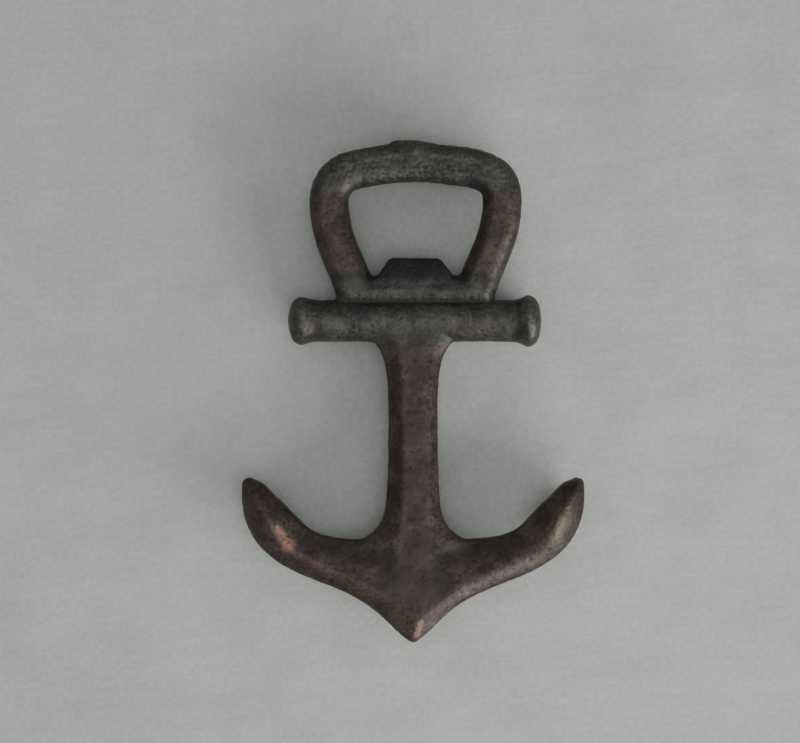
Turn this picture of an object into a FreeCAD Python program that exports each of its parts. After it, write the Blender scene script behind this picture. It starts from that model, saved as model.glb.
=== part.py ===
"""Anchor bottle opener in bronzed iron, as the six pieces it is assembled from.

It lies flat on a table: +X runs along the stock, +Y up the shank to the bow, +Z off the table.
The origin is the middle of its footprint on the table. Every piece is the same front and back,
so each is built about the parting plane z = 0 and lifted to its height when it is written.
All sizes are millimetres.
"""

import FreeCAD
import Part

import math
import os

Vector = FreeCAD.Vector
ORIGIN = Vector(0, 0, 0)
ALONG_X = Vector(1, 0, 0)
ALONG_Y = Vector(0, 1, 0)
ALONG_Z = Vector(0, 0, 1)
MARGIN = 0.1  # an edge within this distance of a place counts as lying there

# Overall -------------------------------------------------------------------------------------
LENGTH = 127.0  # crown point to the top of the bow
CROWN_Y = -LENGTH / 2
BOW_TOP_Y = LENGTH / 2
LEFT_KNOB_RADIUS = 6.2  # the casting's left knob came out a little smaller
RIGHT_KNOB_RADIUS = 6.6
PARTING_HEIGHT = RIGHT_KNOB_RADIUS  # it rests on this knob and on the palms' high points

# Stock: a round bar across the shank, with a knob on each end --------------------------------
STOCK_X = 0.4  # the casting sits slightly off the shank's middle
STOCK_Y = 17.9
STOCK_RADIUS = 5.3
STOCK_HALF_LENGTH = 32.0  # to the outside of a knob
KNOB_LENGTH = 7.6
KNOB_FLARE = 4.0  # from the knob's inner face to its rim
KNOB_CORNER = 3.0  # radius of the corner between the rim and the end
KNOB_CORNER_TURN = math.radians(75)
SPIGOT_RADIUS = 2.2
SPIGOT_LENGTH = 4.6
BAR_HALF_LENGTH = STOCK_HALF_LENGTH - KNOB_LENGTH

# Shank ---------------------------------------------------------------------------------------
SHANK_HALF_THICKNESS = 4.6  # to the flats on its front and back
SHANK_FLAT_X = 0.7  # the flats lie a little to the right
TANG_RADIUS = 1.9  # the shank's tang passes through the stock into the bow
TANG_ROOT_Y = 8.0
TANG_TOP_Y = 26.0

# Bow: a ring of oval bar, closed at the bottom by a bridge that sits on the stock ------------
BOW_WIDTH = 10.0
BOW_THICKNESS = 9.0
BOW_FLAT_HALF_THICKNESS = 4.05  # to the narrow flats along its front and back
BRIDGE_Y = 25.6
BRIDGE_HALF_HEIGHT = 3.8
BRIDGE_HALF_THICKNESS = 4.0
GATE_STUB_LEFT = -5.8  # stub of the casting's inlet, left on top of the bow
GATE_STUB_LEVEL_TO = 0.6  # it is level as far as this, then runs down into the bar
GATE_STUB_RIGHT = 9.5
GATE_STUB_LEFT_DRAFT = 0.4
GATE_STUB_RUN_DOWN = 1.5
GATE_STUB_DEPTH = 3.0
GATE_STUB_THICKNESS = 4.0
GATE_STUB_CORNER = 0.5

# Lip: a wedge let into the bridge, which catches under the rim of a bottle cap ---------------
LIP_X = 0.5
LIP_TIP_Y = 33.8
LIP_SHOULDER_Y = 27.4
LIP_TIP_HALF_WIDTH = 6.4
LIP_ROOT_HALF_WIDTH = 10.9
LIP_TIP_HALF_THICKNESS = 1.2
LIP_MIDDLE_HALF_THICKNESS = 3.1
LIP_ROOT_HALF_THICKNESS = 3.7
LIP_CORNER = 1.8
TENON_HALF_WIDTH = 6.5
TENON_HALF_THICKNESS = 1.5
TENON_DEPTH = 1.3


def closed_wire(points):
    """A closed polygon through the points."""
    return Part.makePolygon(points + points[:1])


def line(start, end):
    return Part.makeLine(start, end)


def arc(start, middle, end):
    return Part.Arc(start, middle, end).toShape()


# ---------------------------------------------------------------------------------------------
# Stock bar and knobs
# ---------------------------------------------------------------------------------------------


def stock_cylinder(radius, half_length):
    """A cylinder on the stock's axis, as long to the left as to the right."""
    start = Vector(STOCK_X - half_length, STOCK_Y, 0)
    return Part.makeCylinder(radius, 2 * half_length, start, ALONG_X)


def stock_bar():
    """The bar between the knobs, with a spigot on each end and a cross hole for the tang."""
    bar = stock_cylinder(STOCK_RADIUS, BAR_HALF_LENGTH)
    spigots = stock_cylinder(SPIGOT_RADIUS, BAR_HALF_LENGTH + SPIGOT_LENGTH)
    return bar.fuse(spigots).cut(tang())


def circle_point(centre, radius, turn):
    """The point on a circle, turned from straight up towards +X."""
    return centre + Vector(radius * math.sin(turn), radius * math.cos(turn), 0)


def knob_profile(radius):
    """Half the outline of a knob: a hollow flare, a rounded corner and a slightly domed end."""
    step = radius - STOCK_RADIUS
    rim_x = BAR_HALF_LENGTH + KNOB_FLARE

    # The flare leaves the bar smoothly and reaches the rim.
    hollow_radius = (KNOB_FLARE**2 / step + step) / 2
    hollow_turn = math.asin(KNOB_FLARE / hollow_radius)
    hollow_centre = Vector(BAR_HALF_LENGTH, STOCK_RADIUS + hollow_radius, 0)
    neck = Vector(BAR_HALF_LENGTH, STOCK_RADIUS, 0)
    hollow = circle_point(hollow_centre, hollow_radius, math.pi - hollow_turn / 2)
    rim = Vector(rim_x, radius, 0)

    corner_centre = Vector(rim_x, radius - KNOB_CORNER, 0)
    corner = circle_point(corner_centre, KNOB_CORNER, KNOB_CORNER_TURN / 2)
    face_edge = circle_point(corner_centre, KNOB_CORNER, KNOB_CORNER_TURN)

    # The end is part of a ball centred on the axis.
    rise = STOCK_HALF_LENGTH - face_edge.x
    ball_radius = (face_edge.y**2 + rise**2) / (2 * rise)
    ball_centre = Vector(STOCK_HALF_LENGTH - ball_radius, 0, 0)
    ball_turn = math.acos(face_edge.y / ball_radius)
    dome = circle_point(ball_centre, ball_radius, (ball_turn + math.pi / 2) / 2)

    pole = Vector(STOCK_HALF_LENGTH, 0, 0)
    back = Vector(BAR_HALF_LENGTH, 0, 0)
    return Part.Wire(
        [
            line(back, neck),
            arc(neck, hollow, rim),
            arc(rim, corner, face_edge),
            arc(face_edge, dome, pole),
            line(pole, back),
        ]
    )


def stock_knob(side, radius):
    """One end knob, bored for the bar's spigot. side is 1 for +X and -1 for -X."""
    knob = Part.Face(knob_profile(radius)).revolve(ORIGIN, ALONG_X, 360)
    if side < 0:
        knob = knob.mirror(ORIGIN, ALONG_X)
    knob.translate(Vector(STOCK_X, STOCK_Y, 0))
    return knob.cut(stock_cylinder(SPIGOT_RADIUS, BAR_HALF_LENGTH + SPIGOT_LENGTH))


# ---------------------------------------------------------------------------------------------
# Anchor body: shank, crown, arms and palms in one casting
# ---------------------------------------------------------------------------------------------

# The shank from under the stock to the crown, before its front and back are planed flat. Each
# station gives the height y, the half width to its edges, the half width of its front, and the
# half thickness at edges and front.
SHANK_STATIONS = [
    (17.0, 13.0, 4.0, 2.6, 5.0),
    (13.2, 10.4, 3.7, 2.6, 5.0),
    (10.6, 8.4, 3.5, 2.5, 5.0),
    (7.0, 7.1, 3.2, 2.4, 5.0),
    (2.0, 6.4, 3.0, 2.2, 5.0),
    (-6.0, 6.2, 2.9, 2.2, 5.0),
    (-14.0, 6.25, 2.9, 2.2, 5.0),
    (-23.0, 6.5, 2.9, 2.2, 5.0),
    (-29.5, 7.0, 2.9, 2.3, 5.0),
    (-33.0, 8.1, 2.9, 2.4, 5.0),
    (-35.3, 9.8, 3.0, 2.5, 5.0),
    (-36.8, 11.9, 3.1, 2.5, 5.0),
    (-38.4, 14.0, 3.3, 2.4, 5.0),
    (-41.0, 13.5, 3.2, 2.0, 5.0),
    (-44.0, 12.0, 3.0, 2.2, 4.9),
    (-49.0, 8.6, 2.7, 2.6, 4.7),
    (-53.0, 6.0, 2.5, 2.8, 4.2),
    (-57.0, 4.0, 2.2, 2.8, 3.3),
]

# The right arm from the crown to the tip of its palm. Each station gives the outer edge, the
# ridge and the inner edge as x, y, then the half thickness at the three of them, and how far the
# outer and the inner face bulge as a share of their breadth. The palm starts where the ridge rises.
ARM_STATIONS = [
    ((0.0, CROWN_Y), (0.0, -57.6), (0.0, -37.2), 1.7, 4.9, 4.3, 0.04, 0.01),
    ((4.0, -60.6), (3.8, -55.2), (4.0, -37.2), 1.7, 4.9, 4.1, 0.04, 0.01),
    ((8.2, -56.5), (7.5, -52.0), (8.0, -37.2), 1.7, 4.9, 3.3, 0.05, 0.01),
    ((13.6, -52.6), (12.2, -48.7), (12.6, -37.3), 1.8, 4.9, 2.3, 0.06, 0.01),
    ((20.6, -49.3), (18.6, -45.8), (17.6, -37.1), 1.8, 4.7, 2.0, 0.06, 0.02),
    ((27.6, -46.5), (25.3, -42.7), (22.8, -36.2), 1.8, 4.5, 2.0, 0.06, 0.03),
    ((33.6, -43.4), (30.8, -39.6), (26.9, -34.1), 1.8, 4.6, 2.0, 0.07, 0.04),
    ((37.6, -40.3), (34.1, -36.8), (29.8, -31.3), 1.7, 5.4, 2.4, 0.08, 0.05),
    ((40.4, -36.9), (36.1, -33.0), (32.4, -28.6), 1.7, 6.5, 2.8, 0.08, 0.06),
    ((42.4, -32.4), (38.0, -29.6), (35.1, -26.1), 1.6, 6.3, 2.6, 0.08, 0.06),
    ((43.2, -28.0), (40.0, -26.2), (37.6, -23.4), 1.5, 5.4, 2.2, 0.08, 0.06),
    ((43.4, -24.7), (41.4, -23.5), (39.5, -22.35), 1.3, 3.9, 1.7, 0.08, 0.06),
    ((42.9, -22.1), (41.9, -21.75), (40.9, -21.4), 0.9, 2.0, 0.9, 0.06, 0.06),
]


def shank_section(y, half_width, face_half, edge_half, front_half):
    """An eight-sided section: upright edges, sloping shoulders and flat front and back."""
    front = [
        Vector(half_width, y, edge_half),
        Vector(SHANK_FLAT_X + face_half, y, front_half),
        Vector(SHANK_FLAT_X - face_half, y, front_half),
        Vector(-half_width, y, edge_half),
    ]
    return closed_wire(front + [Vector(p.x, y, -p.z) for p in reversed(front)])


def bulged(start, end, share):
    """An arc from start to end that rises towards the viewer's side of the piece."""
    lift = (end - start).Length * share
    away = 1 if start.z + end.z > 0 else -1
    return arc(start, (start + end) * 0.5 + ALONG_Z * (away * lift), end)


def arm_section(outer, ridge, inner, outer_half, ridge_half, inner_half, outer_bulge, inner_bulge):
    """A section with a ridge front and back, between upright edges."""
    front = [
        Vector(*outer, outer_half),
        Vector(*ridge, ridge_half),
        Vector(*inner, inner_half),
    ]
    back = [Vector(p.x, p.y, -p.z) for p in front]
    return Part.Wire(
        [
            bulged(front[0], front[1], outer_bulge),
            bulged(front[1], front[2], inner_bulge),
            line(front[2], back[2]),
            bulged(back[2], back[1], inner_bulge),
            bulged(back[1], back[0], outer_bulge),
            line(back[0], front[0]),
        ]
    )


def tang():
    """The round tang on the shank's head."""
    root = Vector(0, TANG_ROOT_Y, 0)
    return Part.makeCylinder(TANG_RADIUS, TANG_TOP_Y - TANG_ROOT_Y, root, ALONG_Y)


def anchor_body():
    shank = Part.makeLoft([shank_section(*station) for station in SHANK_STATIONS], True)
    corner = Vector(-LENGTH, -LENGTH, -SHANK_HALF_THICKNESS)
    flats = Part.makeBox(2 * LENGTH, 2 * LENGTH, 2 * SHANK_HALF_THICKNESS, corner)
    shank = shank.common(flats)
    arm = Part.makeLoft([arm_section(*station) for station in ARM_STATIONS], True)
    body = shank.fuse([arm, arm.mirror(ORIGIN, ALONG_X)])
    body = body.cut(stock_cylinder(STOCK_RADIUS, STOCK_HALF_LENGTH))
    return body.fuse(tang()).removeSplitter()


# ---------------------------------------------------------------------------------------------
# Bow and lip
# ---------------------------------------------------------------------------------------------

# Middle of the bow's bar, from the left foot over the top to the right foot. The left shoulder
# slopes more than the right one.
BOW_CENTRELINE = [
    (-13.9, 19.0),
    (-14.7, 25.6),
    (-16.8, 31.5),
    (-19.4, 37.6),
    (-21.1, 45.2),
    (-20.9, 50.6),
    (-18.2, 54.6),
    (-12.6, 56.5),
    (-5.0, 57.7),
    (2.0, 57.9),
    (10.2, 57.2),
    (17.0, 55.9),
    (21.5, 52.9),
    (22.5, 47.4),
    (21.5, 40.4),
    (18.9, 33.4),
    (16.2, 26.6),
    (15.0, 19.0),
]


def bow_ring():
    """The oval bar swept along the bow, open at the feet."""
    path = Part.BSplineCurve()
    path.interpolate([Vector(x, y, 0) for x, y in BOW_CENTRELINE])
    start = path.value(path.FirstParameter)
    across = path.tangent(path.FirstParameter)[0].cross(ALONG_Z)
    oval = Part.Ellipse(
        start + across * (BOW_WIDTH / 2), start + ALONG_Z * (BOW_THICKNESS / 2), start
    )
    spine = Part.Wire(path.toShape())
    return spine.makePipeShell([Part.Wire(oval.toShape())], True, False)


def rounded_bar(left, right, half_thickness):
    """A straight oval bar along the stock, from left to right."""
    centre = Vector(left, BRIDGE_Y, 0)
    top = centre + ALONG_Y * BRIDGE_HALF_HEIGHT
    front = centre + ALONG_Z * half_thickness
    major, minor = (top, front) if BRIDGE_HALF_HEIGHT > half_thickness else (front, top)
    oval = Part.Ellipse(major, minor, centre)
    return Part.Face(Part.Wire(oval.toShape())).extrude(ALONG_X * (right - left))


def bridge():
    """The bar that joins the bow's feet."""
    return rounded_bar(BOW_CENTRELINE[1][0], BOW_CENTRELINE[-2][0], BRIDGE_HALF_THICKNESS)


def foot_trim():
    """The space the bow's bar may fill: between its flats, and rounded off towards the stock."""
    corner = Vector(-LENGTH, BRIDGE_Y, -BOW_FLAT_HALF_THICKNESS)
    above = Part.makeBox(2 * LENGTH, LENGTH, 2 * BOW_FLAT_HALF_THICKNESS, corner)
    return above.fuse(rounded_bar(-LENGTH, LENGTH, BOW_FLAT_HALF_THICKNESS))


def gate_stub():
    """The low stub on top of the bow where the casting was fed."""
    foot_y = BOW_TOP_Y - GATE_STUB_DEPTH
    back = -GATE_STUB_THICKNESS / 2
    outline = closed_wire(
        [
            Vector(GATE_STUB_LEFT, foot_y, back),
            Vector(GATE_STUB_LEFT + GATE_STUB_LEFT_DRAFT, BOW_TOP_Y, back),
            Vector(GATE_STUB_LEVEL_TO, BOW_TOP_Y, back),
            Vector(GATE_STUB_RIGHT, BOW_TOP_Y - GATE_STUB_RUN_DOWN, back),
            Vector(GATE_STUB_RIGHT, foot_y, back),
        ]
    )
    stub = Part.Face(outline).extrude(ALONG_Z * GATE_STUB_THICKNESS)
    top_edges = [e for e in stub.Edges if e.BoundBox.YMin > BOW_TOP_Y - MARGIN]
    return stub.makeFillet(GATE_STUB_CORNER, top_edges)


def lip_plan():
    """The lip's outline from the front, as thick as its root."""
    root, tip = LIP_ROOT_HALF_WIDTH, LIP_TIP_HALF_WIDTH
    outline = closed_wire(
        [
            Vector(LIP_X - root, LIP_SHOULDER_Y, -LIP_ROOT_HALF_THICKNESS),
            Vector(LIP_X - tip, LIP_TIP_Y, -LIP_ROOT_HALF_THICKNESS),
            Vector(LIP_X + tip, LIP_TIP_Y, -LIP_ROOT_HALF_THICKNESS),
            Vector(LIP_X + root, LIP_SHOULDER_Y, -LIP_ROOT_HALF_THICKNESS),
        ]
    )
    plate = Part.Face(outline).extrude(ALONG_Z * (2 * LIP_ROOT_HALF_THICKNESS))
    corners = [
        e
        for e in plate.Edges
        if e.BoundBox.YMin > LIP_TIP_Y - MARGIN and e.BoundBox.ZLength > LIP_ROOT_HALF_THICKNESS
    ]
    return plate.makeFillet(LIP_CORNER, corners)


def lip_wedge():
    """The lip's outline from the side, wider than the lip. Its faces round over to the tip."""
    left = -2 * LIP_ROOT_HALF_WIDTH
    middle_y = (LIP_SHOULDER_Y + LIP_TIP_Y) / 2
    root = Vector(left, LIP_SHOULDER_Y, LIP_ROOT_HALF_THICKNESS)
    middle = Vector(left, middle_y, LIP_MIDDLE_HALF_THICKNESS)
    tip = Vector(left, LIP_TIP_Y, LIP_TIP_HALF_THICKNESS)
    back_root, back_middle, back_tip = [Vector(p.x, p.y, -p.z) for p in (root, middle, tip)]
    outline = Part.Wire(
        [
            arc(root, middle, tip),
            line(tip, back_tip),
            arc(back_tip, back_middle, back_root),
            line(back_root, root),
        ]
    )
    return Part.Face(outline).extrude(ALONG_X * (-2 * left))


def lip():
    """The wedge with the tenon that holds it in the bridge."""
    tooth = lip_plan().common(lip_wedge())
    tenon = Part.makeBox(
        2 * TENON_HALF_WIDTH,
        2 * TENON_DEPTH,
        2 * TENON_HALF_THICKNESS,
        Vector(LIP_X - TENON_HALF_WIDTH, LIP_SHOULDER_Y - TENON_DEPTH, -TENON_HALF_THICKNESS),
    )
    return tooth.fuse(tenon).removeSplitter()


def opener_bow():
    bow = bow_ring().common(foot_trim()).fuse([bridge(), gate_stub()])
    return bow.cut([stock_cylinder(STOCK_RADIUS, STOCK_HALF_LENGTH), lip(), tang()])


PIECES = {
    "anchor_body": anchor_body(),
    "stock_bar": stock_bar(),
    "stock_knob_left": stock_knob(-1, LEFT_KNOB_RADIUS),
    "stock_knob_right": stock_knob(1, RIGHT_KNOB_RADIUS),
    "opener_bow": opener_bow(),
    "cap_lifter_lip": lip(),
}

os.makedirs("parts", exist_ok=True)
for name, piece in PIECES.items():
    piece.translate(ALONG_Z * PARTING_HEIGHT)
    box = piece.optimalBoundingBox()
    print(f"{name:18s} valid {piece.isValid()} solids {len(piece.Solids)} volume {piece.Volume:8.1f}")
    print(f"  x {box.XMin:6.2f} to {box.XMax:6.2f}", end="")
    print(f"  y {box.YMin:6.2f} to {box.YMax:6.2f}", end="")
    print(f"  z {box.ZMin:6.2f} to {box.ZMax:6.2f}")
    piece.exportStep(os.path.join("parts", name + ".step"))
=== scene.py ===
"""Cast-iron anchor bottle opener on a pale cloth, seen from straight above."""

import math

import bmesh
import bpy
import numpy as np
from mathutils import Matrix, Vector, noise
from mathutils.bvhtree import BVHTree


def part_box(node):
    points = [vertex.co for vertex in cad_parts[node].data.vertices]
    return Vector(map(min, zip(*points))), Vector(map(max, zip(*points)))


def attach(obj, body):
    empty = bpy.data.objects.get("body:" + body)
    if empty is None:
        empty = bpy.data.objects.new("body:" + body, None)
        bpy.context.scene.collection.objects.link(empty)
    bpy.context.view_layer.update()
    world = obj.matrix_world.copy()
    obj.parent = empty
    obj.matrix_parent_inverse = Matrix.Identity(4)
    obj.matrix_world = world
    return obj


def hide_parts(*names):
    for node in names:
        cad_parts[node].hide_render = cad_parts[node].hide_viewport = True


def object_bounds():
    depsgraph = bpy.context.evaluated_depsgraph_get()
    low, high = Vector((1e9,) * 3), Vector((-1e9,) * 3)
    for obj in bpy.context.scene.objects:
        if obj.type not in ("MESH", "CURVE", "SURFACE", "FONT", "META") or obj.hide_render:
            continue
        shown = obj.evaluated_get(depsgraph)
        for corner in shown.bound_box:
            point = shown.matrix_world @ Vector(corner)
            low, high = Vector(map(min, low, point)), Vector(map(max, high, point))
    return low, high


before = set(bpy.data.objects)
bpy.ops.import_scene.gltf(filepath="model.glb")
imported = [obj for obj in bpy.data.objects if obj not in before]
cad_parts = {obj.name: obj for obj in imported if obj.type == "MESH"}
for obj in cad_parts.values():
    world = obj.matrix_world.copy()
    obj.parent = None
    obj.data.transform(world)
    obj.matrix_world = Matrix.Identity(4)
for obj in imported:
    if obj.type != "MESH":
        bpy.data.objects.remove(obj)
cad_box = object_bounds()

MM = 0.001

# How each CAD node becomes a rough casting: size of its faces in millimetres, finish and look.
CASTINGS = {
    "anchor_body": {"voxel": 0.32, "slot": "bronzed_iron", "material": "brown_iron"},
    "stock_bar": {"voxel": 0.28, "slot": "bronzed_iron", "material": "grey_iron"},
    "stock_knob_left": {"voxel": 0.26, "slot": "bronzed_iron", "material": "grey_iron"},
    "stock_knob_right": {"voxel": 0.26, "slot": "bronzed_iron", "material": "grey_iron"},
    "opener_bow": {"voxel": 0.28, "slot": "bronzed_iron", "material": "bow_iron"},
    "cap_lifter_lip": {"voxel": 0.24, "slot": "dark_iron", "material": "dark_iron"},
}
SMOOTH_FACTOR = 0.5
PIECE_PASSES = 6  # smoothing passes on each piece
GROWTH = 0.3  # how far every piece swells, in millimetres, so that no gap opens between pieces

# The skin is one smooth surface over all the pieces. Their visible faces are drawn onto it.
SKIN_VOXEL = 0.34
SKIN_PASSES = 22
BROAD_PASSES = 170  # the much smoother surface that tells ridges from hollows
SKIN_SURE = 1.0  # a face this close to the skin, in millimetres, lies on it
SKIN_REACH = 1.9  # a face further than this is hidden inside
SKIN_LEAN = (0.0, 0.35)  # how well a face's direction has to agree with the skin's

# The shank's head dips a little under the stock, so that its edge doesn't show.
stock_low, stock_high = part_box("stock_bar")
STOCK_AXIS = (stock_low + stock_high) / 2 / MM
DIP_DEPTH = 0.12
DIP_RADII = (5.4, 5.9)  # fully dipped, and not at all, this far from the stock's axis

# Surface relief of the sand casting: wave length and height in millimetres.
RELIEF = [(9.0, 0.14), (3.2, 0.09), (1.4, 0.06), (0.8, 0.03)]
RELIEF_START = Vector((0.0, 5.1, 0.0))  # where in the noise the first layer lies
RELIEF_SHIFT = Vector((17.3, 0.0, 9.7))  # from each layer to the next
PIT_SPACING = 1.9
PIT_RADIUS = 0.32  # as a share of the spacing
PIT_DEPTH = 0.14
LUMPY_START = 51.0  # the bow's top bar gets rougher from this far up the opener, in millimetres
LUMPY_FULL = 54.5  # and is at its roughest from here on
LUMP_LENGTH = 0.95
LUMP_HEIGHT = 0.15
LUMP_SHIFT = Vector((3.3, 8.8, 1.9))


# ---------------------------------------------------------------------------------------------
# Meshes
# ---------------------------------------------------------------------------------------------


def coordinates(mesh):
    """The mesh's vertices as rows of x, y, z."""
    flat = np.empty(len(mesh.vertices) * 3)
    mesh.vertices.foreach_get("co", flat)
    return flat.reshape(-1, 3)


def normals(mesh):
    """The mesh's vertex normals as rows of x, y, z."""
    flat = np.empty(len(mesh.vertices) * 3)
    mesh.vertex_normals.foreach_get("vector", flat)
    return flat.reshape(-1, 3)


def evaluated(mesh, set_modifiers):
    """A new mesh: the given one after the modifiers that set_modifiers adds."""
    carrier = bpy.data.objects.new("carrier", mesh)
    bpy.context.scene.collection.objects.link(carrier)
    set_modifiers(carrier.modifiers)
    depsgraph = bpy.context.evaluated_depsgraph_get()
    result = bpy.data.meshes.new_from_object(carrier.evaluated_get(depsgraph))
    bpy.data.objects.remove(carrier)
    return result


def add_smooth(modifiers, passes):
    """Adds a modifier that rounds the mesh a little with every pass."""
    smooth = modifiers.new("rounded edges", "SMOOTH")
    smooth.factor = SMOOTH_FACTOR
    smooth.iterations = passes


def even_mesh(mesh, voxel, passes):
    """The mesh rebuilt from small even faces, with its edges rounded."""

    def set_modifiers(modifiers):
        remesh = modifiers.new("even faces", "REMESH")
        remesh.mode = "VOXEL"
        remesh.voxel_size = voxel * MM
        add_smooth(modifiers, passes)

    return evaluated(mesh, set_modifiers)


class Skin:
    """The smooth surface over the whole casting, with the height of its ridges."""

    def __init__(self):
        joined = bmesh.new()
        for node in CASTINGS:
            joined.from_mesh(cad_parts[node].data)
        together = bpy.data.meshes.new("together")
        joined.to_mesh(together)
        joined.free()
        fine = even_mesh(together, SKIN_VOXEL, SKIN_PASSES)
        broad = evaluated(fine, lambda modifiers: add_smooth(modifiers, BROAD_PASSES))

        places = coordinates(fine)
        self.normals = normals(fine)
        self.ridges = ((places - coordinates(broad)) * self.normals).sum(axis=1) / MM
        self.faces = [tuple(face.vertices) for face in fine.polygons]
        self.tree = BVHTree.FromPolygons([Vector(place) for place in places], self.faces)

    def nearest(self, place):
        """The closest point of the skin, its normal, its ridge height and how far away it is."""
        point, _, index, distance = self.tree.find_nearest(place)
        corners = list(self.faces[index])
        normal = self.normals[corners].mean(axis=0)
        return point, Vector(normal).normalized(), self.ridges[corners].mean(), distance


def smooth_step(value, low, high):
    """0 under low, 1 over high, smooth between."""
    share = min(1.0, max(0.0, (value - low) / (high - low)))
    return share * share * (3 - 2 * share)


def relief_at(point):
    """Height of the casting's surface at a point, in millimetres."""
    height = 0.0
    for index, (length, depth) in enumerate(RELIEF):
        offset = RELIEF_START + index * RELIEF_SHIFT
        height += depth * noise.noise(point / length + offset)
    nearest = noise.voronoi(point / PIT_SPACING)[0][0]
    height -= PIT_DEPTH * max(0.0, 1.0 - nearest / PIT_RADIUS)
    lumpy = smooth_step(point.y, LUMPY_START, LUMPY_FULL)
    if lumpy:
        height += lumpy * LUMP_HEIGHT * noise.noise(point / LUMP_LENGTH + LUMP_SHIFT)
    return height


def dip_at(point):
    """How far the shank's head lies under the stock's surface at a point, in millimetres."""
    radius = math.hypot(point.y - STOCK_AXIS.y, point.z - STOCK_AXIS.z)
    return DIP_DEPTH * (1 - smooth_step(radius, *DIP_RADII))


def cast(mesh, skin, dips):
    """Draws the mesh's visible faces onto the skin and gives them the relief of the casting.

    A mesh that dips lies a little under the stock where it meets it.
    """
    places = coordinates(mesh)
    directions = normals(mesh)
    ridges = np.empty(len(places))
    heights = np.empty(len(places))
    for index, (place, direction) in enumerate(zip(places, directions)):
        place, direction = Vector(place), Vector(direction)
        place += direction * GROWTH * MM
        point, normal, ridge, distance = skin.nearest(place)
        near = 1 - smooth_step(distance / MM, SKIN_SURE, SKIN_REACH)
        share = near * smooth_step(direction.dot(normal), *SKIN_LEAN)
        relief = relief_at(point / MM)
        rise = relief - dip_at(point / MM) if dips else relief
        places[index] = place.lerp(point, share) + normal * (share * rise * MM)
        ridges[index] = ridge
        heights[index] = relief
    mesh.vertices.foreach_set("co", places.ravel())
    for name, values in (("ridge", ridges), ("relief", heights)):
        mesh.attributes.new(name, "FLOAT", "POINT").data.foreach_set("value", values)
    mesh.update()


# ---------------------------------------------------------------------------------------------
# Materials
# ---------------------------------------------------------------------------------------------


STREAK_CORE = 0.2  # share of a streak's radius that has its full strength


class Nodes:
    """A short way to add and join shader nodes in one material."""

    def __init__(self, name):
        self.material = bpy.data.materials.new(name)
        self.material.use_nodes = True
        self.tree = self.material.node_tree
        self.shader = self.tree.nodes["Principled BSDF"]

    def add(self, kind, inputs=None, **settings):
        """A new node with the given settings, fed with the given inputs."""
        node = self.tree.nodes.new(kind)
        for key, value in settings.items():
            setattr(node, key, value)
        for key, value in (inputs or {}).items():
            self.feed(node.inputs[key], value)
        return node

    def feed(self, socket, value):
        """Joins the socket to another one, or gives it a fixed value."""
        if isinstance(value, bpy.types.NodeSocket):
            self.tree.links.new(value, socket)
        else:
            socket.default_value = value

    def place(self):
        """Where a point is, in metres in the part's frame."""
        return self.add("ShaderNodeTexCoord").outputs["Object"]

    def attribute(self, name):
        """A number stored at the mesh's vertices."""
        return self.add("ShaderNodeAttribute", attribute_name=name).outputs["Fac"]

    def noise(self, length, detail=3.0, roughness=0.55, place=None):
        """Noise from 0 to 1 whose features are about this long, in millimetres."""
        inputs = {
            "Vector": place or self.place(),
            "Scale": 1 / (length * MM),
            "Detail": detail,
            "Roughness": roughness,
        }
        return self.add("ShaderNodeTexNoise", inputs).outputs["Fac"]

    def between(self, value, low, high, to_low=0.0, to_high=1.0):
        """to_low where the value is under low, to_high where it is over high, smooth between."""
        inputs = {
            "Value": value,
            "From Min": low,
            "From Max": high,
            "To Min": to_low,
            "To Max": to_high,
        }
        node = self.add("ShaderNodeMapRange", inputs, interpolation_type="SMOOTHSTEP")
        return node.outputs["Result"]

    def math(self, operation, a, b=0.0):
        """A number worked out from one or two numbers."""
        return self.add("ShaderNodeMath", {0: a, 1: b}, operation=operation).outputs["Value"]

    def times(self, *factors):
        """The product of the factors."""
        product = factors[0]
        for factor in factors[1:]:
            product = self.math("MULTIPLY", product, factor)
        return product

    def mix(self, share, a, b):
        """Colour a, or colour b as the share goes to 1."""
        node = self.add("ShaderNodeMix", data_type="RGBA")
        self.feed(node.inputs["Factor"], share)
        self.feed(node.inputs["A"], a)
        self.feed(node.inputs["B"], b)
        return node.outputs["Result"]

    def brighten(self, colour, factor):
        """The colour times the factor."""
        node = self.add("ShaderNodeVectorMath", {0: colour, "Scale": factor}, operation="SCALE")
        return node.outputs["Vector"]

    def vector(self, operation, a, b):
        """A vector operation that gives a number."""
        return self.add("ShaderNodeVectorMath", {0: a, 1: b}, operation=operation).outputs["Value"]

    def bump(self, height, depth, strength):
        """Tilts the shading as if the surface rose and fell this deep, in millimetres."""
        inputs = {"Height": height, "Strength": strength, "Distance": depth * MM}
        self.feed(self.shader.inputs["Normal"], self.add("ShaderNodeBump", inputs).outputs["Normal"])

    def streak(self, start, end, start_radius, end_radius):
        """1 along the line from start to end, falling to 0 at a radius that changes along it.

        The line lies in the opener's own plane, and all sizes are in millimetres.
        """
        start, end = Vector((*start, 0)) * MM, Vector((*end, 0)) * MM
        length = (end - start).length
        along = (end - start) / length
        across = Vector((-along.y, along.x, 0))
        place = self.place()
        reach = self.math("SUBTRACT", self.vector("DOT_PRODUCT", place, along), start.dot(along))
        side = self.math("SUBTRACT", self.vector("DOT_PRODUCT", place, across), start.dot(across))
        side = self.math("ABSOLUTE", side)
        inside = self.math("MINIMUM", self.math("MAXIMUM", reach, 0.0), length)
        beyond = self.math("ABSOLUTE", self.math("SUBTRACT", reach, inside))
        radius = self.add(
            "ShaderNodeMapRange",
            {
                "Value": reach,
                "From Max": length,
                "To Min": start_radius * MM,
                "To Max": end_radius * MM,
            },
        ).outputs["Result"]
        away = self.math("DIVIDE", self.math("ADD", side, beyond), radius)
        return self.between(away, STREAK_CORE, 1.0, 1.0, 0.0)


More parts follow.
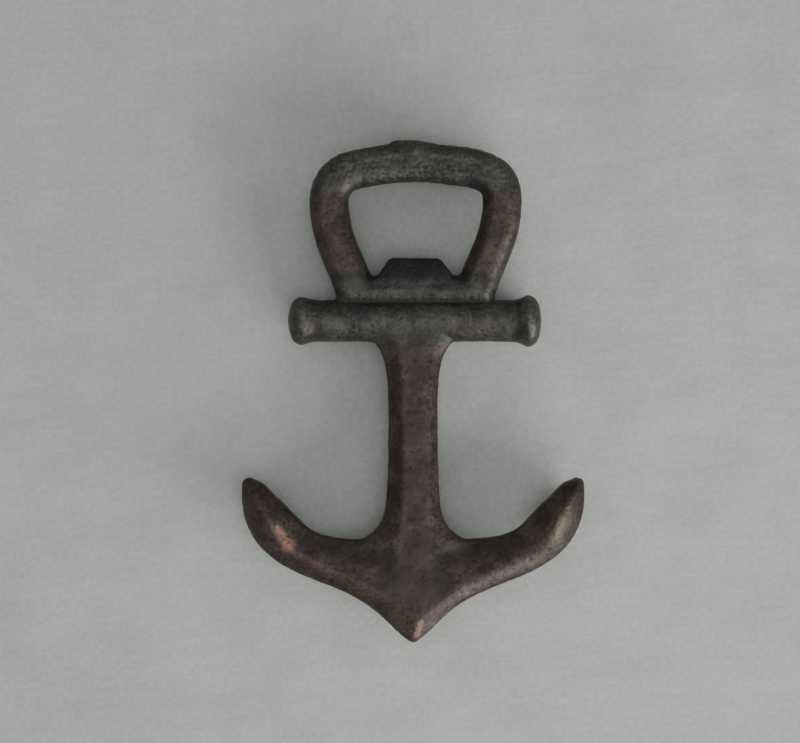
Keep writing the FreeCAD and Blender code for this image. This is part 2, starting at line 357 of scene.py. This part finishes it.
def rgb(red, green, blue):
    """A colour with full alpha."""
    return (red, green, blue, 1.0)


# The black is dark wash and painted shade. The bare edge, copper and olive colours are rubbed metal
# and painted highlights.
BLACK_WASH_AND_SHADE = rgb(0.012, 0.0115, 0.011)
BROWN_IRON = rgb(0.056, 0.039, 0.033)
GREY_IRON = rgb(0.055, 0.053, 0.049)
DARK_IRON = rgb(0.028, 0.026, 0.027)
BARE_EDGE_AND_HIGHLIGHT = rgb(0.16, 0.135, 0.115)
COPPER_RUB_AND_HIGHLIGHT = rgb(0.30, 0.16, 0.12)
OLIVE_RUB_AND_HIGHLIGHT = rgb(0.17, 0.13, 0.075)
PALE_CLOTH = rgb(0.49, 0.505, 0.485)
LIGHT_CLOTH = rgb(0.55, 0.565, 0.54)

# Marks on the casting, each along a line in the opener's plane: the line's start and end, the
# mark's radius at both, its strength and its colour. Most are painted shade or painted highlights,
# some over real wash or wear.
PAINTED_LIGHT_AND_WEAR_MARKS = [
    # dark wash and painted shade on the arms and crown; painted shade on the bridge, the foot of the
    # lip, the neck of the right knob and inside the bow
    ((-9.0, -41.0), (-27.0, -38.0), 4.5, 3.5, 0.40, BLACK_WASH_AND_SHADE),
    ((9.0, -41.5), (27.0, -38.0), 4.5, 3.5, 0.52, BLACK_WASH_AND_SHADE),
    ((-6.0, -44.0), (-7.0, -55.0), 4.5, 4.0, 0.50, BLACK_WASH_AND_SHADE),
    ((6.5, -42.0), (8.0, -50.0), 3.5, 3.5, 0.45, BLACK_WASH_AND_SHADE),
    ((0.7, -38.0), (0.5, -52.0), 5.0, 4.0, 0.14, BLACK_WASH_AND_SHADE),
    ((-12.0, 25.8), (13.5, 25.8), 2.4, 2.4, 0.16, BLACK_WASH_AND_SHADE),
    ((-20.0, 29.0), (20.0, 29.0), 2.2, 2.2, 0.65, BLACK_WASH_AND_SHADE),
    ((26.6, 13.5), (26.6, 22.5), 1.2, 1.2, 0.60, BLACK_WASH_AND_SHADE),
    ((-13.0, 52.6), (18.0, 52.2), 2.0, 2.0, 0.45, BLACK_WASH_AND_SHADE),
    ((-16.9, 48.0), (-15.3, 39.5), 1.2, 1.2, 0.35, BLACK_WASH_AND_SHADE),
    ((-15.3, 39.5), (-11.9, 31.5), 1.2, 1.2, 0.35, BLACK_WASH_AND_SHADE),
    # rubbed through to the bronze, and painted highlights: left palm and arm, right palm, crown
    # point and bow's left leg
    ((-34.6, -33.6), (-31.2, -38.2), 2.2, 4.0, 0.30, OLIVE_RUB_AND_HIGHLIGHT),
    ((-34.2, -33.8), (-31.2, -39.0), 0.9, 2.5, 0.80, COPPER_RUB_AND_HIGHLIGHT),
    ((-28.0, -41.6), (-9.0, -52.0), 1.6, 2.6, 0.16, COPPER_RUB_AND_HIGHLIGHT),
    ((-7.0, -53.0), (-1.5, -60.0), 2.6, 2.0, 0.16, COPPER_RUB_AND_HIGHLIGHT),
    ((35.0, -36.0), (38.6, -29.4), 3.4, 3.0, 0.42, OLIVE_RUB_AND_HIGHLIGHT),
    ((0.7, -61.6), (2.1, -57.8), 1.2, 1.0, 0.60, COPPER_RUB_AND_HIGHLIGHT),
    ((-19.6, 38.6), (-18.1, 35.4), 1.3, 1.6, 0.15, COPPER_RUB_AND_HIGHLIGHT),
    # painted highlights, partly worn bright: the bow's right leg and top, the knobs, the stock and
    # the right arm's bevel
    ((23.9, 49.0), (25.2, 42.5), 1.6, 1.8, 0.12, BARE_EDGE_AND_HIGHLIGHT),
    ((25.2, 42.5), (23.2, 37.5), 1.8, 1.8, 0.28, BARE_EDGE_AND_HIGHLIGHT),
    ((23.2, 37.5), (19.5, 29.5), 1.8, 1.8, 0.36, BARE_EDGE_AND_HIGHLIGHT),
    ((3.2, -59.6), (13.3, -50.4), 1.4, 1.7, 0.28, BARE_EDGE_AND_HIGHLIGHT),
    ((13.3, -50.4), (31.0, -42.2), 1.7, 1.9, 0.28, BARE_EDGE_AND_HIGHLIGHT),
    ((-28.6, 20.4), (-25.3, 15.6), 1.2, 1.6, 0.40, BARE_EDGE_AND_HIGHLIGHT),
    ((29.2, 21.5), (30.2, 14.0), 1.0, 1.4, 0.40, BARE_EDGE_AND_HIGHLIGHT),
    ((-14.0, 58.8), (1.0, 60.4), 1.8, 1.8, 0.32, BARE_EDGE_AND_HIGHLIGHT),
    ((1.0, 60.4), (17.0, 58.4), 1.8, 1.8, 0.32, BARE_EDGE_AND_HIGHLIGHT),
    ((2.0, 18.0), (21.0, 18.0), 4.2, 4.2, 0.20, BARE_EDGE_AND_HIGHLIGHT),
    # painted shade along the lower edge of that bevel
    ((4.6, -57.6), (8.4, -54.4), 1.1, 1.1, 0.35, BLACK_WASH_AND_SHADE),
    ((8.4, -54.4), (14.8, -51.3), 1.1, 1.1, 0.30, BLACK_WASH_AND_SHADE),
    ((14.8, -51.3), (31.0, -43.8), 1.1, 1.1, 0.25, BLACK_WASH_AND_SHADE),
    ((31.0, -43.8), (41.4, -33.0), 1.1, 1.1, 0.25, BLACK_WASH_AND_SHADE),
]

NOISE_SPAN = (0.3, 0.7)  # most of a noise's values lie between these

# Lengths are in millimetres. Shades are how much the darkest and palest spots change the colour.
MOTTLE_LENGTH = 4.5
MOTTLE_SHADES = (0.62, 1.3)
GRAIN_LENGTH = 0.8
GRAIN_SHADES = (0.6, 1.5)
HOLLOW_HEIGHTS = (-0.5, 0.25)  # ridge heights with the most dark wash and painted shade, and with none
HOLLOW_WASH_AND_SHADE = 0.75
PIT_HEIGHTS = (-0.16, -0.02)  # relief heights with the most dark wash, and with none
PIT_WASH = 0.7
RUB_AND_HIGHLIGHT_HEIGHTS = (0.55, 1.1)  # ridge heights with no rub or painted highlight, and with the full one
RUB_AND_HIGHLIGHT_GRAIN = (0.35, 0.6)  # the grain keeps its colour under the first and gets the rub and painted highlight over the last
RUB_AND_HIGHLIGHT = 0.45
MARK_GRAIN = (0.25, 0.6)  # the same for the marks
IRON_METALLIC = 0.5
IRON_ROUGHNESS = (0.38, 0.58)
SAND_LENGTH = 0.5
SAND_HEIGHT = 0.1
SAND_STRENGTH = 0.6


def iron(name, tints, wear_and_painted_light=1.0):
    """Bronze-washed cast iron, of the given colours from its foot up, more or less worn and with
    more or less painted shade and highlights.
    """
    nodes = Nodes(name)
    height = nodes.add("ShaderNodeSeparateXYZ", {"Vector": nodes.place()}).outputs["Y"]
    colour = tints[0][1]
    for (low, _), (high, tint) in zip(tints, tints[1:]):
        colour = nodes.mix(nodes.between(height, low * MM, high * MM), colour, tint)

    # The wash is uneven, and the sand left a fine grain.
    mottle = nodes.noise(MOTTLE_LENGTH, detail=4.0)
    grain = nodes.noise(GRAIN_LENGTH, detail=4.0, roughness=0.7)
    colour = nodes.brighten(colour, nodes.between(mottle, *NOISE_SPAN, *MOTTLE_SHADES))
    colour = nodes.brighten(colour, nodes.between(grain, *NOISE_SPAN, *GRAIN_SHADES))

    # Hollows hold dark wash and painted shade, pits hold dark wash, and ridges are rubbed lighter,
    # partly as a painted highlight.
    ridge = nodes.attribute("ridge")
    relief = nodes.attribute("relief")
    hollow = nodes.between(ridge, *HOLLOW_HEIGHTS, HOLLOW_WASH_AND_SHADE, 0.0)
    pit = nodes.between(relief, *PIT_HEIGHTS, PIT_WASH, 0.0)
    colour = nodes.mix(nodes.math("MAXIMUM", hollow, pit), colour, BLACK_WASH_AND_SHADE)
    high = nodes.between(ridge, *RUB_AND_HIGHLIGHT_HEIGHTS)
    rub_and_highlight = nodes.times(high, nodes.between(grain, *RUB_AND_HIGHLIGHT_GRAIN), RUB_AND_HIGHLIGHT * wear_and_painted_light)
    colour = nodes.mix(rub_and_highlight, colour, BARE_EDGE_AND_HIGHLIGHT)
    # The listed marks: painted shade and painted highlights, some over real wash or wear.
    for start, end, start_radius, end_radius, strength, mark_tint in PAINTED_LIGHT_AND_WEAR_MARKS:
        streak = nodes.streak(start, end, start_radius, end_radius)
        mark = nodes.times(streak, nodes.between(grain, *MARK_GRAIN), strength * wear_and_painted_light)
        colour = nodes.mix(mark, colour, mark_tint)

    nodes.feed(nodes.shader.inputs["Base Color"], colour)
    nodes.feed(nodes.shader.inputs["Metallic"], IRON_METALLIC)
    nodes.feed(nodes.shader.inputs["Roughness"], nodes.between(grain, *NOISE_SPAN, *IRON_ROUGHNESS))
    nodes.bump(nodes.noise(SAND_LENGTH, detail=6.0, roughness=0.75), SAND_HEIGHT, SAND_STRENGTH)
    return nodes.material


# The cloth's lengths and depths are in millimetres too.
UNEVEN_LENGTH = 22.0
WEAVE_LENGTH = 1.4
WEAVE_NOISE = (0.25, 0.75)
WEAVE_SHADES = (0.93, 1.07)
FOLD_LENGTH = 11.0
FOLD_TURN = math.radians(-24)
FOLD_STRETCH = 0.3  # the folds are drawn out along their own direction
FOLD_HEIGHT = 6.0  # against the weave's height of 1
CLOTH_BUMP_DEPTH = 0.15
CLOTH_BUMP_STRENGTH = 0.35
CLOTH_ROUGHNESS = 0.95
CLOTH_SHINE = 0.1


def cloth():
    """Pale grey cloth with a faint weave, soft unevenness and slight folds."""
    nodes = Nodes("pale_cloth")
    uneven = nodes.noise(UNEVEN_LENGTH, detail=4.0, roughness=0.6)
    weave = nodes.noise(WEAVE_LENGTH, detail=2.0, roughness=0.7)
    colour = nodes.mix(nodes.between(uneven, *NOISE_SPAN), PALE_CLOTH, LIGHT_CLOTH)
    colour = nodes.brighten(colour, nodes.between(weave, *WEAVE_NOISE, *WEAVE_SHADES))
    nodes.feed(nodes.shader.inputs["Base Color"], colour)
    nodes.feed(nodes.shader.inputs["Roughness"], CLOTH_ROUGHNESS)
    nodes.feed(nodes.shader.inputs["Specular IOR Level"], CLOTH_SHINE)
    drawn_out = nodes.add(
        "ShaderNodeMapping",
        {"Vector": nodes.place(), "Rotation": (0, 0, FOLD_TURN), "Scale": (FOLD_STRETCH, 1, 1)},
    ).outputs["Vector"]
    folds = nodes.noise(FOLD_LENGTH, detail=3.0, place=drawn_out)
    height = nodes.math("ADD", nodes.times(folds, FOLD_HEIGHT), weave)
    nodes.bump(height, CLOTH_BUMP_DEPTH, CLOTH_BUMP_STRENGTH)
    return nodes.material


# The wash's colour at places up the opener, in millimetres.
BOW_TINTS = [(27.0, GREY_IRON), (33.0, BROWN_IRON), (47.0, BROWN_IRON), (53.0, GREY_IRON)]
LIP_TINTS = [(26.5, GREY_IRON), (29.5, DARK_IRON)]
SHANK_TINTS = [(9.0, BROWN_IRON), (16.0, GREY_IRON)]
STOCK_TINTS = [(12.0, GREY_IRON), (24.0, GREY_IRON)]
MATERIALS = {
    "brown_iron": iron("brown_iron", SHANK_TINTS),
    "grey_iron": iron("grey_iron", STOCK_TINTS),
    "bow_iron": iron("bow_iron", BOW_TINTS),
    "dark_iron": iron("dark_iron", LIP_TINTS, wear_and_painted_light=0.5),
}

# ---------------------------------------------------------------------------------------------
# The opener
# ---------------------------------------------------------------------------------------------

skin = Skin()
pieces = []
for node, look in CASTINGS.items():
    mesh = even_mesh(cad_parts[node].data.copy(), look["voxel"], PIECE_PASSES)
    cast(mesh, skin, dips=node == "anchor_body")
    mesh.shade_smooth()
    mesh.materials.clear()
    mesh.materials.append(MATERIALS[look["material"]])
    piece = bpy.data.objects.new("cast_" + node, mesh)
    bpy.context.scene.collection.objects.link(piece)
    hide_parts(node)
    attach(piece, "root")
    pieces.append(piece)

# ---------------------------------------------------------------------------------------------
# Stage, light and camera
# ---------------------------------------------------------------------------------------------

FLOOR_SIZE = 3.0  # in metres
FLOOR_DROP = 0.15 * MM  # the cloth lies this far under the CAD's lowest point, clear of the relief
bpy.ops.mesh.primitive_plane_add(size=FLOOR_SIZE, location=(0, 0, cad_box[0].z - FLOOR_DROP))
floor = bpy.context.active_object
floor.name = "cloth"
floor.data.materials.append(cloth())

ROOM_COLOUR = rgb(0.97, 1.0, 0.98)
ROOM_STRENGTH = 0.42
world = bpy.data.worlds.new("soft_room")
world.use_nodes = True
background = world.node_tree.nodes["Background"]
background.inputs["Color"].default_value = ROOM_COLOUR
background.inputs["Strength"].default_value = ROOM_STRENGTH
bpy.context.scene.world = world


def soft_light(name, turn, height, distance, width, depth, power, lit):
    """A soft panel aimed at the origin that lights only the given objects.

    turn is from +X, and height is up from the table, both in degrees. The distance and the panel's
    sizes are in metres, and its power is in watts.
    """
    turn, height = math.radians(turn), math.radians(height)
    light = bpy.data.lights.new(name, "AREA")
    light.shape = "RECTANGLE"
    light.size = width
    light.size_y = depth
    light.energy = power
    holder = bpy.data.objects.new(name, light)
    level = distance * math.cos(height)
    holder.location = (level * math.cos(turn), level * math.sin(turn), distance * math.sin(height))
    holder.rotation_euler = (-holder.location).to_track_quat("-Z", "Y").to_euler()
    holder.visible_camera = False
    receivers = bpy.data.collections.new("lit by " + name)
    for lit_object in lit:
        receivers.objects.link(lit_object)
    holder.light_linking.receiver_collection = receivers
    bpy.context.scene.collection.objects.link(holder)


# A low window throws the long shadows on the cloth. The iron itself would glare under it, so it
# has a higher window and a panel overhead of its own.
soft_light(
    "low_window", turn=-47, height=14.5, distance=1.0, width=1.1, depth=0.25, power=17.5, lit=[floor]
)
soft_light(
    "overhead", turn=-60, height=80, distance=0.95, width=0.5, depth=0.5, power=1.1, lit=[floor]
)
soft_light(
    "window", turn=-42, height=23, distance=1.0, width=0.7, depth=0.3, power=8.8, lit=pieces
)
soft_light(
    "iron_overhead", turn=-60, height=78, distance=0.95, width=0.5, depth=0.5, power=2.0, lit=pieces
)

# The camera looks straight down. The width of its view is at the height of the stock's axis.
VIEW_X = -3.3 * MM
VIEW_Y = 5.1 * MM
VIEW_WIDTH = 202.4 * MM
CAMERA_DISTANCE = 0.6  # in metres
view_centre = Vector((VIEW_X, VIEW_Y, STOCK_AXIS.z * MM))
camera = bpy.data.cameras.new("camera")
camera.lens = camera.sensor_width * CAMERA_DISTANCE / VIEW_WIDTH
camera_object = bpy.data.objects.new("camera", camera)
camera_object.location = view_centre + Vector((0, 0, CAMERA_DISTANCE))
bpy.context.scene.collection.objects.link(camera_object)
bpy.context.scene.camera = camera_object
